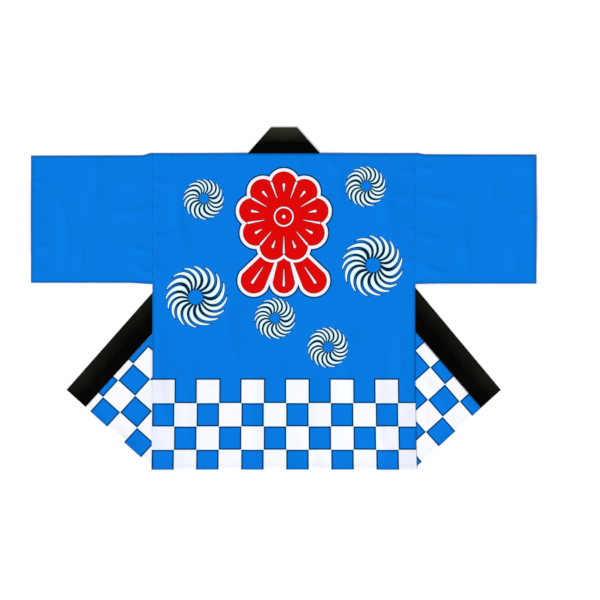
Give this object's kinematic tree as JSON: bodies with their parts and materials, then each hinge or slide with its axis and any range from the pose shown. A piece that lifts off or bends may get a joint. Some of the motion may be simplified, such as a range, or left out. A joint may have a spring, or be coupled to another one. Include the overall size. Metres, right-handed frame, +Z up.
{
  "type": "happi coat",
  "caption": "Short straight-cut happi coat with square sleeves and a band collar, laid flat with its back up and both fronts turned out at the hem.",
  "frame": {"origin": "middle of the whole coat's box, on the surface that it lies on", "axes": "+X from the wearer's left cuff to the right cuff, +Y from the hem to the neck, +Z up from the surface, out of the coat's back"},
  "size_m": [1.264, 0.8553, 0.0042],
  "materials": {
    "dyed_cotton": "plain-weave cotton, matt, bright blue with dyed pattern",
    "collar_cotton": "folded cotton band, matt black with a faint sheen"
  },
  "bodies": {
    "root": {"back": "dyed_cotton", "front_left": "dyed_cotton", "front_right": "dyed_cotton", "sleeve_left": "dyed_cotton", "sleeve_right": "dyed_cotton", "collar": "collar_cotton"}
  },
  "joints": []
}
